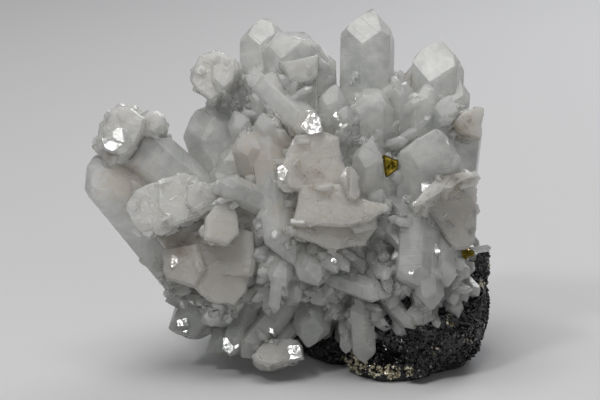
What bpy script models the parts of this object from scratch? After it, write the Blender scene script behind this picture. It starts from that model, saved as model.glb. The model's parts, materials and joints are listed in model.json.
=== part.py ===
"""Cabinet specimen: quartz prisms with calcite and chalcopyrite on dark ore, 122 mm across.

Places are given as they are seen from the front: across (to the right), up, and front, all in
millimetres. `seen` turns them into the frame, +Z up with the flat underside at Z = 0.
"""

import math
import random

import bmesh
import bpy
from mathutils import Matrix, Vector

MM = 0.001

# Where the specimen is seen from.
TILT = math.radians(15.0)
EYE_DISTANCE = 900.0
AIM = (1.8, 47.7)
# The frame's origin, in the middle of the underside: across, and behind the specimen's axis.
ORIGIN = (14.0, 5.0)

# Between pieces that are nodes of their own.
GAP = 0.3
# Points nearer than this are one.
WELD = 0.005
# Rhombohedral faces of quartz, measured from the prism's axis.
CAP_ANGLE = math.radians(51.8)
# How much a cube is sheared to the form of a calcite rhomb.
RHOMB_SHEAR = 0.12

# Quartz prisms: name, root, tip, width, depth over width, turn in degrees.
# Root and tip are (across, up, front).
QUARTZ = [
    # Top row.
    ("top_spire", (21.6, 58, -4), (22.2, 105.2, -10), 17.0, 0.85, 12),
    ("spire_spur", (27, 68, -8), (31.6, 84, -9), 5.0, 0.9, 0),
    ("right_spire", (41.5, 56, -8), (43.8, 96.0, -13), 16.0, 0.8, 20),
    ("right_spire_side", (45, 60, -8), (48.8, 84.5, -10), 11.5, 0.9, 5),
    ("behind_spires", (33, 60, -14), (32.8, 85.5, -18), 12.0, 0.8, 30),
    ("top_left_back", (-9, 70, -16), (-9.2, 102.2, -21), 15.0, 0.85, 8),
    ("top_block", (1.5, 64, -4), (-0.6, 97.6, -8), 18.0, 0.85, 25),
    ("top_block_side", (7, 62, -4), (6.8, 93.5, -7), 13.0, 0.9, 0),
    ("left_column", (-16, 60, -4), (-18.8, 81.5, -7), 5.0, 0.9, 10),
    ("second_column", (-14, 62, -4), (-15.6, 82.5, -8), 5.0, 0.9, 40),
    ("pale_column", (-9, 62, 0), (-10.6, 82, -1), 5.5, 0.9, 15),
    ("pale_block", (-8, 68, -6), (-12, 88, -8), 8.5, 0.9, 35),
    ("knob_stalk", (-14, 62, -8), (-22, 84, -8), 9.5, 0.9, 10),
    # Left side.
    ("left_bulge", (-17, 48, -6), (-26.8, 75.2, -8), 18.0, 0.9, 20),
    ("bulge_tip", (-11, 54, 0), (-17.8, 74.5, 3), 8.0, 0.9, 0),
    ("inner_tip", (-5, 56, 4), (-9, 74, 8), 7.5, 0.9, 25),
    ("tinted_prism", (-8, 46, 4), (-15.5, 68.5, 9), 10.5, 0.85, 10),
    ("upper_left", (-21, 40.5, -2), (-52.5, 68.5, 5), 17.5, 0.85, 24),
    ("lower_left", (-30, 24, 0), (-59.5, 59.5, 8), 17.5, 0.85, 8),
    ("left_foot", (-30, 32, 2), (-46.5, 29.5, 7), 7.5, 0.9, 0),
    ("left_foot_small", (-30, 27, 4), (-42, 25.5, 9), 5.0, 0.9, 20),
    ("pale_prism", (-9, 46.5, 12), (-22.4, 53.4, 22), 8.0, 0.8, 28),
    ("pale_prism_small", (-14, 48, 10), (-24.2, 52, 17), 4.6, 0.9, 0),
    # Middle.
    ("center_prism", (-8.5, 68, 4), (-3.2, 30.5, 20), 11.5, 0.9, 2),
    ("center_prism_left", (-10, 58, 4), (-10.5, 33, 15), 8.0, 0.9, 25),
    ("long_blade", (-9, 82.5, -3), (6.8, 67.5, 13), 9.8, 0.8, 14),
    ("blade_fellow", (-6, 76, -4), (2.5, 84.5, 4), 8.0, 0.9, 20),
    ("upper_middle", (10, 54, 2), (12.6, 82.5, 5), 9.5, 0.9, 28),
    ("glint_tip", (13, 60, 4), (16.2, 76, 9), 6.0, 0.9, 10),
    ("middle_face", (23, 48, -2), (23.2, 80.0, 3), 14.5, 0.8, 30),
    ("middle_right", (32, 54, -2), (32.4, 83, -1), 7.5, 0.9, 10),
    ("right_of_middle", (38.5, 50, 0), (39.6, 82, 0), 10.5, 0.85, 30),
    ("small_right_tip", (43, 58, 2), (46.6, 79, 3), 8.0, 0.9, 15),
    ("right_edge", (47, 38, -6), (51.6, 75, -8), 12.5, 0.9, 8),
    ("under_middle", (22, 42, 4), (24.5, 66, 11), 12.5, 0.85, 22),
    ("ore_neighbour", (26, 44, 6), (29.5, 60, 12), 8.0, 0.9, 0),
    ("dark_inner", (23, 36, 6), (26.5, 51, 14), 8.0, 0.9, 14),
    ("dark_lower", (24, 34, 8), (29, 42, 17), 6.5, 0.9, 30),
    # Right head and the tips below it.
    ("right_head", (39, 38, 6), (41.6, 69.8, 19), 18.5, 0.8, 18),
    ("right_body", (38, 54, 8), (36.2, 21.5, 23), 14.0, 0.8, 12),
    ("right_body_tip", (38.5, 46, 12), (41.2, 14.6, 26), 8.6, 0.85, 26),
    ("right_body_side", (42, 46, 10), (46.2, 21.4, 23), 7.2, 0.9, 0),
    ("side_small_upper", (41, 40, 4), (50.6, 26.4, 19), 5.2, 0.9, 12),
    ("side_small_lower", (39, 36, 2), (52.6, 24.4, 18), 5.4, 0.9, 30),
    ("side_cluster_left", (42, 34, 0), (51.6, 16.8, 17), 5.0, 0.9, 5),
    ("side_cluster_right", (42, 33, -4), (55.4, 18.8, 14), 4.8, 0.9, 25),
    ("pale_needle", (41, 31.0, 8), (59.2, 33.4, 10), 2.4, 0.9, 0),
    # Fingers over the ore.
    ("finger_a", (43, 31, 8), (48.4, 16.0, 21), 4.6, 0.9, 10),
    ("finger_b", (42, 31, 10), (43.2, 17.0, 23), 3.6, 0.9, 0),
    ("finger_c", (32, 30, 8), (28.6, 15.0, 23), 5.6, 0.9, 20),
    ("finger_d", (33.5, 27, 8), (33.0, 10.2, 22), 3.4, 0.9, 0),
    ("finger_e", (37, 27, 10), (36.6, 11.8, 23), 3.8, 0.9, 15),
    ("finger_f", (43, 24, 10), (39.6, 10.2, 24), 5.4, 0.9, 0),
    ("finger_g", (45, 20, 8), (38.0, 7.2, 22), 5.0, 0.9, 25),
    ("finger_h", (44.5, 27, 9), (48.8, 11.6, 20), 6.8, 0.9, 0),
    ("finger_i", (33, 22, 8), (23.4, 11.4, 21), 5.2, 0.9, 12),
    ("finger_j", (20, 36, 8), (28.0, 23.8, 23), 5.4, 0.9, 0),
    ("finger_k", (25, 40, 8), (27.4, 29.6, 20), 2.8, 0.9, 10),
    ("slender_short", (16.4, 15, 12), (15.5, 1.6, 20), 4.4, 0.85, 0),
    ("stub", (12, 22, 8), (12.4, 11.6, 17), 3.0, 0.9, 0),
    # Lower middle.
    ("chunky_tip", (1, 36, 10), (7.2, 22.2, 26), 10.0, 0.9, 5),
    ("glinty_tip", (5, 40, 10), (13.6, 25.6, 24), 9.6, 0.85, 22),
    ("lying_slab", (5, 27, 12), (27.6, 19.0, 23), 7.4, 0.8, 10),
    ("under_slab", (18, 25, 8), (4.8, 17.4, 19), 6.6, 0.9, 28),
    ("under_calcite", (16, 36, 6), (20.6, 25.6, 19), 7.0, 0.9, 8),
    ("middle_lower_a", (-9, 36, 8), (-2.2, 21.6, 23), 9.2, 0.9, 15),
    ("middle_lower_b", (-6, 31, 6), (-9.4, 16.6, 20), 7.6, 0.9, 0),
    ("middle_lower_c", (-4, 30, 6), (1.2, 17.0, 20), 6.6, 0.9, 30),
    ("middle_lower_d", (-4, 42, 8), (0.6, 28.4, 21), 8.2, 0.9, 12),
    ("dark_prism", (6.6, 24, 2), (4.2, 3.4, 18), 12.6, 0.85, 6),
    ("low_blade", (3, 23, 8), (-15.6, 0.4, 20), 8.2, 0.7, 18),
    ("low_prism", (-13.5, 19, 6), (-18.8, 1.2, 19), 8.6, 0.85, 4),
    ("low_left_dark", (-8, 14, 2), (-26.4, 1.6, 13), 13.0, 0.85, 20),
    ("low_left_filler", (-12, 24, 2), (-27.6, 10.6, 16), 12.0, 0.9, 10),
    ("glittery_left", (-18, 19, 0), (-37.6, 9.0, 13), 14.0, 0.85, 24),
    ("glittery_left_upper", (-20, 23, 0), (-38.6, 17.4, 10), 8.0, 0.9, 0),
    ("small_white", (-28, 22.5, 6), (-38.8, 20.8, 14), 5.2, 0.9, 15),
    # Back.
    ("back_upper_left", (-6, 58, -8), (-13, 81, -33), 14.0, 0.9, 10),
    ("back_top", (5, 58, -8), (4, 83, -35), 15.0, 0.85, 25),
    ("back_top_right", (24, 58, -8), (28, 84, -34), 14.0, 0.9, 0),
    ("back_right_shoulder", (36, 54, -8), (43, 71, -33), 13.0, 0.9, 20),
    ("back_left_shoulder", (-10, 50, -8), (-22, 63, -31), 14.0, 0.85, 5),
    ("back_center", (0, 50, -8), (-4, 65, -43), 16.0, 0.9, 30),
    ("back_center_right", (18, 52, -8), (20, 66, -44), 17.0, 0.85, 12),
    ("back_right", (34, 46, -8), (43, 52, -38), 14.0, 0.9, 25),
    ("back_left", (-14, 40, -6), (-31, 44, -28), 14.0, 0.9, 15),
    ("back_middle_left", (0, 40, -8), (-11, 47, -42), 15.0, 0.85, 0),
    ("back_middle", (16, 42, -8), (13, 47, -46), 16.0, 0.9, 20),
    ("back_middle_right", (28, 40, -8), (33, 38, -42), 14.0, 0.85, 8),
    ("back_lower_left", (-12, 30, -4), (-27, 27, -28), 13.0, 0.9, 28),
    ("back_lower", (0, 30, -6), (-8, 30, -39), 13.0, 0.9, 10),
    ("back_lower_right", (10, 30, -8), (16, 27, -43), 13.0, 0.85, 22),
    ("back_far_right", (38, 44, -6), (48, 41, -27), 12.0, 0.9, 0),
    ("back_low_left", (-22, 36, -4), (-40, 37, -18), 12.0, 0.9, 18),
    ("slender_finger", (19.9, 18.2, 15), (21.2, -1.2, 22), 8.0, 0.8, 6),
]
# Prisms with a tip at both ends.
DOUBLE_ENDED = {"slender_finger"}

# Prisms with a worn or broken tip: how much of the width is gone from it.
BLUNT = {
    "top_left_back": 0.08,
    "top_block": 0.24,
    "top_block_side": 0.16,
    "left_bulge": 0.14,
    "lower_left": 0.12,
    "middle_face": 0.22,
    "right_of_middle": 0.14,
    "middle_right": 0.2,
    "right_body": 0.2,
    "behind_spires": 0.26,
    "back_center_right": 0.16,
    "back_left": 0.12,
    "back_middle_right": 0.2,
}

# Massive quartz that the prisms grew from: centre, half sizes, subdivisions.
HEARTS = [
    ((2, 50, -5), (30, 17, 26), 2),
    ((-15, 24, 0), (20, 14, 18), 1),
    ((35, 45, -4), (18, 15, 27), 1),
    ((12, 22, 0), (25, 14, 13), 1),
]

# Calcite plates: node, front, lean back, swing right, thickness, outline of (across, up).
PLATES = [
    ("calcite_left_cap", 11.5, 8, -10, 9.0, [
        (-57.6, 68.9), (-55.4, 71.1), (-55.4, 74.5), (-52.2, 75.8), (-48.7, 75.3), (-44.6, 72.2),
        (-45.6, 67.6), (-47.4, 64.5), (-49.5, 61.3), (-52.4, 60.6), (-55.6, 63.6)]),
    ("calcite_left_cap", 10.5, -6, -26, 7.5, [
        (-59.3, 66.1), (-57.0, 68.6), (-53.0, 66.0), (-50.0, 61.0), (-51.5, 58.5), (-56.1, 58.5),
        (-57.4, 60.8), (-58.4, 62.4)]),
    ("calcite_left_cap", 6.5, 14, 14, 8.5, [
        (-46.6, 71.4), (-43.5, 74.0), (-39.2, 72.5), (-38.8, 70.8), (-38.9, 67.7), (-43.2, 66.6),
        (-46.4, 67.0)]),
    ("calcite_top_knob", -1.0, 10, -10, 10.0, [
        (-30.8, 83.1), (-29.8, 85.1), (-30.0, 87.0), (-28.2, 91.1), (-23.3, 92.2), (-17.6, 90.3),
        (-16.6, 86.7), (-18.6, 83.8), (-20.2, 80.5), (-24.8, 77.3), (-29.0, 80.5)]),
    ("calcite_top_knob", 0.8, 26, 16, 6.0, [
        (-24.6, 87.8), (-21.0, 88.6), (-17.4, 86.4), (-18.4, 83.2), (-21.2, 81.0), (-24.4, 83.6)]),
    ("calcite_left_blades", 17.5, 10, -14, 6.0, [
        (-50.4, 46.5), (-47.4, 50.7), (-43.8, 52.5), (-40.2, 53.4), (-37.8, 49.2), (-38.4, 43.2),
        (-37.2, 39.6), (-41.7, 38.1), (-45.9, 37.5), (-48.0, 39.6), (-50.1, 43.8)]),
    ("calcite_left_blades", 16.5, 16, 10, 6.5, [
        (-41.4, 53.0), (-37.2, 54.6), (-32.7, 56.1), (-28.2, 53.7), (-26.7, 49.2), (-28.2, 42.6),
        (-37.2, 39.6), (-40.6, 44.7)]),
    ("calcite_left_blades", 17.5, 6, 24, 6.0, [
        (-31.6, 52.2), (-26.7, 53.1), (-21.6, 48.3), (-24.6, 45.3), (-28.2, 42.6), (-32.2, 46.2)]),
    ("calcite_lower_left", 17.0, 6, -6, 13.0, [
        (-41.4, 36.6), (-37.0, 38.2), (-26.0, 42.4), (-17.4, 42.0), (-16.2, 39.3), (-12.3, 38.1),
        (-11.7, 28.2), (-12.6, 24.6), (-21.6, 24.3), (-29.7, 21.3), (-38.1, 24.0), (-39.3, 26.7),
        (-38.7, 32.7)]),
    ("calcite_lower_left", 21.0, 4, 6, 13.0, [
        (-22.8, 30.4), (-12.6, 29.6), (-12.6, 24.6), (-14.1, 24.3), (-14.4, 20.1), (-16.8, 17.7),
        (-17.7, 15.9), (-20.4, 17.1), (-22.5, 16.5), (-25.5, 17.4), (-27.9, 19.2), (-29.7, 21.3),
        (-28.8, 26.7)]),
    ("calcite_lower_left", 21.5, 14, 12, 9.0, [
        (-26.6, 42.6), (-21.2, 48.4), (-18.3, 46.2), (-17.1, 43.2), (-16.4, 37.6), (-19.8, 34.2),
        (-27.0, 35.8)]),
    ("calcite_lower_left", 19.5, 4, -20, 9.0, [
        (-38.4, 33.4), (-29.0, 34.5), (-26.6, 27.0), (-29.4, 21.7), (-37.8, 24.3), (-39.0, 27.0)]),
    ("calcite_center", 16.5, 12, 4, 12.0, [
        (-3.9, 57.3), (-1.8, 62.7), (0.6, 67.2), (8.4, 68.4), (13.4, 66.4), (14.6, 58.8),
        (15.9, 57.3), (16.8, 53.7), (17.4, 51.3), (9.0, 49.6), (-3.6, 50.7), (-4.8, 54.3)]),
    ("calcite_center", 23.4, 8, -6, 14.0, [
        (1.8, 52.2), (17.4, 52.5), (17.8, 48.4), (25.2, 46.8), (27.0, 44.7), (22.2, 41.1),
        (14.7, 39.6), (-0.6, 40.5), (0.9, 45.9)]),
    ("calcite_center", 22.2, 4, 4, 12.0, [
        (-0.9, 41.4), (14.7, 42.2), (24.6, 43.4), (24.9, 39.3), (22.2, 35.7), (18.0, 33.6),
        (15.6, 34.8), (12.6, 32.4), (9.9, 33.0), (6.3, 34.8), (-0.6, 37.2)]),
    ("calcite_center", 23.6, 4, 26, 5.0, [
        (16.9, 57.8), (18.4, 56.4), (19.5, 48.6), (18.0, 47.4), (16.4, 48.6)]),
    ("calcite_center", 24.2, 10, 16, 4.0, [
        (20.6, 46.9), (27.6, 46.4), (28.7, 45.2), (27.2, 43.9), (20.6, 43.6)]),
    ("calcite_right_ledge", 21.5, 30, 8, 7.0, [
        (35.7, 45.9), (39.3, 50.7), (43.8, 54.9), (46.8, 55.5), (52.8, 55.8), (55.2, 54.9),
        (49.2, 52.9), (47.4, 50.8), (43.8, 50.8), (39.3, 46.9)]),
    ("calcite_right_ledge", 15.5, -1, 22, 9.0, [
        (37.0, 46.2), (39.3, 48.2), (43.8, 51.8), (47.4, 51.8), (49.2, 53.9), (54.9, 54.4),
        (54.0, 47.7), (53.4, 43.2), (54.6, 40.2), (51.6, 38.1), (54.3, 35.7), (52.2, 33.0),
        (48.0, 32.4), (45.4, 36.7), (43.0, 41.2)]),
    ("calcite_right_corner", 3.0, 12, 20, 9.0, [
        (46.8, 70.2), (50.1, 73.8), (54.3, 75.0), (55.8, 75.6), (56.7, 75.0), (56.7, 73.2),
        (55.8, 71.1), (55.8, 65.7), (50.4, 67.2)]),
    ("calcite_top_plate", 2.5, 10, 12, 7.0, [
        (-4.2, 89.1), (0.3, 89.7), (7.2, 91.2), (7.2, 85.2), (4.8, 83.1), (1.8, 82.5),
        (-1.2, 82.8)]),
    ("calcite_flake", 21.0, 28, 10, 5.0, [
        (-12.6, 0.6), (-9.6, 4.5), (-7.2, 5.7), (-0.6, 6.0), (0.9, 5.1), (1.2, 3.0),
        (-0.3, 0.3), (-1.8, -1.2), (-4.2, -1.5), (-7.2, -2.1), (-10.2, -1.8), (-12.0, -0.6)]),
]

# Calcite rhombs: node, centre, size, turns about the three axes in degrees.
RHOMBS = [
    ("calcite_left_cap", (-50.8, 68.8, 3), 11.0, (20, 35, 10)),
    ("calcite_left_cap", (-42.8, 68.6, 0), 7.4, (50, 10, 25)),
    ("calcite_left_cap", (-55.2, 63.8, 4), 7.4, (10, 60, 40)),
    ("calcite_top_knob", (-23.8, 85.0, -9), 10.2, (25, 40, 15)),
    ("calcite_top_knob", (-20.6, 86.2, -12), 7.0, (10, 30, 55)),
]

# Small rhombs that stud a calcite piece: node, centre, half sizes of the spread, how many, size.
STUDS = [
    ("calcite_left_cap", (-50, 67, 2), (7, 5, 6), 3, (4.0, 5.2)),
    ("calcite_top_knob", (-23.4, 84.6, -8), (5.4, 5, 4.6), 2, (4.2, 5.2)),
]

# Black ore: centre, half sizes, subdivisions. Cut off flat at the floor.
ORE = [
    ((37, 14, -1), (21, 24, 19), 3),
    ((46, 26, -6), (13, 13, 12), 2),
    ((30, 1, 9), (14, 14, 8), 2),
    ((6, 4, -18), (26, 15, 13), 2),
    ((22, 4, -10), (20, 18, 11), 2),
]
ORE_CRYSTALS = 9
ORE_CRYSTAL_SIZE = (4.0, 8.0)

CHALCOPYRITE = [
    ("chalcopyrite_crystal", (28.9, 58.1, 14.2), 4.6, (20, 25, 40)),
    ("chalcopyrite_grain", (51.8, 32.0, 15.5), 3.0, (50, 10, 20)),
]

COLOURS = {
    "quartz": (0.62, 0.63, 0.61, 1.0),
    "calcite": (0.50, 0.44, 0.38, 1.0),
    "chalcopyrite": (0.38, 0.28, 0.05, 1.0),
    "ore": (0.012, 0.012, 0.014, 1.0),
}


def seen(place):
    """The point of the frame that shows at a place, given as (across, up, front)."""
    across, up, front = place
    rising = Vector((0.0, math.sin(TILT), math.cos(TILT)))
    toward = Vector((0.0, -math.cos(TILT), math.sin(TILT)))
    eye = Vector((AIM[0], 0.0, 0.0)) + rising * AIM[1] + toward * EYE_DISTANCE
    ray = Vector((across, 0.0, 0.0)) + rising * up - eye
    point = eye + ray * ((-front - eye.y) / ray.y)
    return (point - Vector((ORIGIN[0], ORIGIN[1], 0.0))) * MM


def grow(mesh, by):
    """Moves every face outwards, for the cutter that leaves a gap round a piece."""
    if not by:
        return mesh
    mesh.normal_update()
    steps = [vert.normal * min(vert.calc_shell_factor(), 2.5) * by * MM for vert in mesh.verts]
    for vert, step in zip(mesh.verts, steps):
        vert.co += step
    return mesh


def cut(mesh, point, normal):
    """Cuts off what lies beyond a plane and closes the cut."""
    everything = mesh.verts[:] + mesh.edges[:] + mesh.faces[:]
    done = bmesh.ops.bisect_plane(
        mesh, geom=everything, dist=1e-7, plane_co=point, plane_no=normal, clear_outer=True)
    edges = [item for item in done["geom_cut"] if isinstance(item, bmesh.types.BMEdge)]
    if edges:
        bmesh.ops.contextual_create(mesh, geom=edges)
    return mesh


def prism(root, tip, width, depth_ratio, turn, rng, blunt=0.0, both=False):
    """A quartz prism with rhombohedral faces at its tip, some larger than others."""
    start = seen(root)
    end = seen(tip)
    axis = (end - start).normalized()
    length = (end - start).length
    toward = Vector((0.0, -math.cos(TILT), math.sin(TILT)))
    side = axis.cross(toward)
    if side.length < 0.05:
        side = axis.cross(Vector((0.0, 0.0, 1.0)))
    side.normalize()
    face = side.cross(axis)
    radius = width * MM / 2
    mesh = bmesh.new()
    bmesh.ops.create_cone(
        mesh, cap_ends=True, segments=6, radius1=radius * rng.uniform(1.0, 1.06),
        radius2=radius * rng.uniform(0.92, 1.0), depth=length,
        matrix=Matrix.Translation((0.0, 0.0, length / 2)) @ Matrix.Rotation(math.radians(turn), 4, "Z"))
    widest = rng.randrange(6)
    for k in range(6):
        angle = math.radians(30 + 60 * k + turn)
        sunk = (0.10 if k % 2 else 0.0) + rng.uniform(0.0, 0.07) + (0.16 if k == widest else 0.0)
        normal = Vector((
            math.sin(CAP_ANGLE) * math.cos(angle), math.sin(CAP_ANGLE) * math.sin(angle),
            math.cos(CAP_ANGLE)))
        cut(mesh, Vector((0.0, 0.0, length - sunk * width * MM)), normal)
        if both:
            normal.z = -normal.z
            cut(mesh, Vector((0.0, 0.0, sunk * width * MM)), normal)
    # The cap's planes meet below the tip, so the cap is moved up to it.
    short = length + blunt * width * MM - max(vert.co.z for vert in mesh.verts)
    deep = min(vert.co.z for vert in mesh.verts)
    for vert in mesh.verts:
        if vert.co.z > length / 2:
            vert.co.z += short
        else:
            vert.co.z -= deep
    if blunt:
        cut(mesh, Vector((0.0, 0.0, length)), Vector((0.24, 0.16, 1.0)).normalized())
    frame = Matrix((side, face, axis)).transposed().to_4x4()
    flatten = Matrix.Diagonal((1.0, depth_ratio, 1.0, 1.0))
    bmesh.ops.transform(mesh, verts=mesh.verts, matrix=Matrix.Translation(start) @ frame @ flatten)
    bmesh.ops.recalc_face_normals(mesh, faces=mesh.faces)
    return mesh


def lump(centre, half_sizes, subdivisions, roughness, rng):
    """A rough rounded mass: a sphere pulled to its half sizes, each point moved in or out."""
    mesh = bmesh.new()
    bmesh.ops.create_icosphere(mesh, subdivisions=subdivisions, radius=1.0)
    for vert in mesh.verts:
        vert.co *= 1.0 + rng.uniform(-roughness, roughness)
        vert.co = Vector([part * size * MM for part, size in zip(vert.co, half_sizes)])
    bmesh.ops.translate(mesh, verts=mesh.verts, vec=seen(centre))
    return mesh


def rhomb(centre, size, turns, squash=1.0):
    """A calcite rhomb about a point of the frame."""
    mesh = bmesh.new()
    bmesh.ops.create_cube(mesh, size=size * MM)
    for sign in (1, -1):
        normal = Vector((sign, sign, sign)).normalized()
        cut(mesh, normal * size * MM * 0.56, normal)
    shear = Matrix((
        (1.0, RHOMB_SHEAR, RHOMB_SHEAR), (RHOMB_SHEAR, 1.0, RHOMB_SHEAR),
        (RHOMB_SHEAR, RHOMB_SHEAR, squash))).to_4x4()
    matrix = Matrix.Translation(centre)
    for turn, axis in zip(turns, "XYZ"):
        matrix = matrix @ Matrix.Rotation(math.radians(turn), 4, axis)
    bmesh.ops.transform(mesh, verts=mesh.verts, matrix=matrix @ shear)
    return mesh


def plate(front, lean, swing, thickness, outline):
    """A tabular crystal whose outline is seen, with chamfered front edges and a narrower back."""
    middle = [sum(part) / len(outline) for part in zip(*outline)]
    centre = seen((middle[0], middle[1], front))
    turn = Matrix.Rotation(math.radians(swing), 3, "Z") @ Matrix.Rotation(
        math.radians(-lean), 3, "X")
    normal = turn @ Vector((0.0, -math.cos(TILT), math.sin(TILT)))
    eye = seen((AIM[0], AIM[1], EYE_DISTANCE * math.cos(TILT) - AIM[1] * math.sin(TILT) - 1.0))
    rim = []
    for across, up in outline:
        ray = seen((across, up, front)) - eye
        rim.append(eye + ray * ((centre - eye).dot(normal) / ray.dot(normal)))
    mesh = bmesh.new()
    middle_point = sum(rim, Vector()) / len(rim)
    chamfer = min(1.0, thickness / 5)
    rings = [(0.93, chamfer), (1.0, 0.0), (0.84, -thickness)]
    rows = []
    for scale, along in rings:
        row = []
        for point in rim:
            spot = middle_point + (point - middle_point) * scale + normal * along * MM
            row.append(mesh.verts.new(spot))
        rows.append(row)
    mesh.faces.new(rows[0])
    mesh.faces.new(list(reversed(rows[-1])))
    count = len(rim)
    for upper, lower in zip(rows, rows[1:]):
        for i in range(count):
            j = (i + 1) % count
            mesh.faces.new((upper[i], upper[j], lower[j], lower[i]))
    bmesh.ops.recalc_face_normals(mesh, faces=mesh.faces)
    return mesh


def disphenoid(centre, size, turns):
    """A chalcopyrite crystal: a tetrahedron with its corners cut off."""
    mesh = bmesh.new()
    bmesh.ops.create_cube(mesh, size=size * MM)
    for signs in ((1, 1, 1), (-1, -1, 1), (-1, 1, -1), (1, -1, -1)):
        normal = Vector(signs).normalized()
        cut(mesh, normal * size * MM * 0.36, normal)
    matrix = Matrix.Translation(centre)
    for turn, axis in zip(turns, "XYZ"):
        matrix = matrix @ Matrix.Rotation(math.radians(turn), 4, axis)
    bmesh.ops.transform(mesh, verts=mesh.verts, matrix=matrix)
    bmesh.ops.recalc_face_normals(mesh, faces=mesh.faces)
    return mesh


def quartz_meshes(by):
    rng = random.Random(11)
    meshes = []
    for name, root, tip, width, depth_ratio, turn in QUARTZ:
        blunt = BLUNT.get(name, 0.0)
        both = name in DOUBLE_ENDED
        meshes.append(grow(prism(root, tip, width, depth_ratio, turn, rng, blunt, both), by))
    for centre, half_sizes, fine in HEARTS:
        meshes.append(grow(lump(centre, half_sizes, fine, 0.05, rng), by))
    return meshes


def calcite_meshes(node, by):
    rng = random.Random(node)
    meshes = []
    for name, front, lean, swing, thickness, outline in PLATES:
        if name == node:
            meshes.append(grow(plate(front, lean, swing, thickness, outline), by))
    for name, centre, size, turns in RHOMBS:
        if name == node:
            meshes.append(grow(rhomb(seen(centre), size, turns, 0.8), by))
    for name, centre, spread, count, size in STUDS:
        if name != node:
            continue
        for _ in range(count):
            away = Vector([rng.uniform(-1, 1) for _ in range(3)]).normalized()
            spot = [middle + part * half for middle, part, half in zip(centre, away, spread)]
            turns = [rng.uniform(0, 90) for _ in range(3)]
            meshes.append(grow(rhomb(seen(spot), rng.uniform(*size), turns, 0.8), by))
    return meshes


def ore_meshes():
    rng = random.Random(3)
    meshes = [lump(centre, half, fine, 0.07, rng) for centre, half, fine in ORE]
    for _ in range(ORE_CRYSTALS):
        centre, half, _ = ORE[rng.choice((0, 0, 1, 2))]
        away = Vector([rng.uniform(-1, 1) for _ in range(3)]).normalized()
        spot = seen(centre) + Vector([part * size * MM * 0.9 for part, size in zip(away, half)])
        turns = [rng.uniform(0, 90) for _ in range(3)]
        meshes.append(rhomb(spot, rng.uniform(*ORE_CRYSTAL_SIZE), turns))
    return meshes


def object_of(name, mesh, collection):
    data = bpy.data.meshes.new(name)
    mesh.to_mesh(data)
    mesh.free()
    result = bpy.data.objects.new(name, data)
    collection.objects.link(result)
    return result


def combined(target, operation, meshes):
    """Joins the target with the meshes, or takes them from it, and drops the meshes' objects."""
    tools = bpy.data.collections.new(target.name + "_tools")
    bpy.context.scene.collection.children.link(tools)
    for index, mesh in enumerate(meshes):
        object_of(f"{target.name}_tool_{index}", mesh, tools)
    modifier = target.modifiers.new(operation.lower(), "BOOLEAN")
    modifier.operation = operation
    modifier.solver = "EXACT"
    modifier.operand_type = "COLLECTION"
    modifier.collection = tools
    depsgraph = bpy.context.evaluated_depsgraph_get()
    result = bpy.data.meshes.new_from_object(target.evaluated_get(depsgraph))
    target.modifiers.clear()
    old = target.data
    target.data = result
    bpy.data.meshes.remove(old)
    for tool in list(tools.objects):
        data = tool.data
        bpy.data.objects.remove(tool)
        bpy.data.meshes.remove(data)
    bpy.data.collections.remove(tools)
    return target


def largest_body(target):
    """Keeps the largest closed body, without the crumbs and pinched-off slivers a cut may leave."""
    mesh = bmesh.new()
    mesh.from_mesh(target.data)
    bmesh.ops.remove_doubles(mesh, verts=mesh.verts, dist=WELD * MM)
    bmesh.ops.dissolve_limit(
        mesh, angle_limit=math.radians(1.0), verts=mesh.verts, edges=mesh.edges)
    bmesh.ops.dissolve_degenerate(mesh, dist=WELD * MM, edges=mesh.edges)
    left = set(mesh.faces)
    islands = []
    while left:
        island = {left.pop()}
        rim = list(island)
        while rim:
            face = rim.pop()
            for edge in face.edges:
                if len(edge.link_faces) != 2:
                    continue
                for other in edge.link_faces:
                    if other in left:
                        left.discard(other)
                        island.add(other)
                        rim.append(other)
        islands.append(island)
    islands.sort(key=len, reverse=True)
    crumbs = [face for island in islands[1:] for face in island]
    bmesh.ops.delete(mesh, geom=crumbs, context="FACES")
    mesh.to_mesh(target.data)
    mesh.free()
    return target


def material(name, colour, roughness, metallic=0.0, clear=0.0, ior=1.5):
    made = bpy.data.materials.new(name)
    made.use_nodes = True
    made.diffuse_color = colour
    shader = made.node_tree.nodes["Principled BSDF"]
    shader.inputs["Base Color"].default_value = colour
    shader.inputs["Roughness"].default_value = roughness
    shader.inputs["Metallic"].default_value = metallic
    shader.inputs["Transmission Weight"].default_value = clear
    shader.inputs["IOR"].default_value = ior
    return made


def dressed(target, kind):
    looks = {
        "quartz": (COLOURS["quartz"], 0.2, 0.0, 0.6, 1.54),
        "calcite": (COLOURS["calcite"], 0.35, 0.0, 0.0, 1.6),
        "chalcopyrite": (COLOURS["chalcopyrite"], 0.3, 1.0, 0.0, 1.5),
        "ore": (COLOURS["ore"], 0.25, 0.3, 0.0, 1.9),
    }
    target.data.materials.clear()
    target.data.materials.append(material(f"{target.name}_finish", *looks[kind]))
    return target


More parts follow.
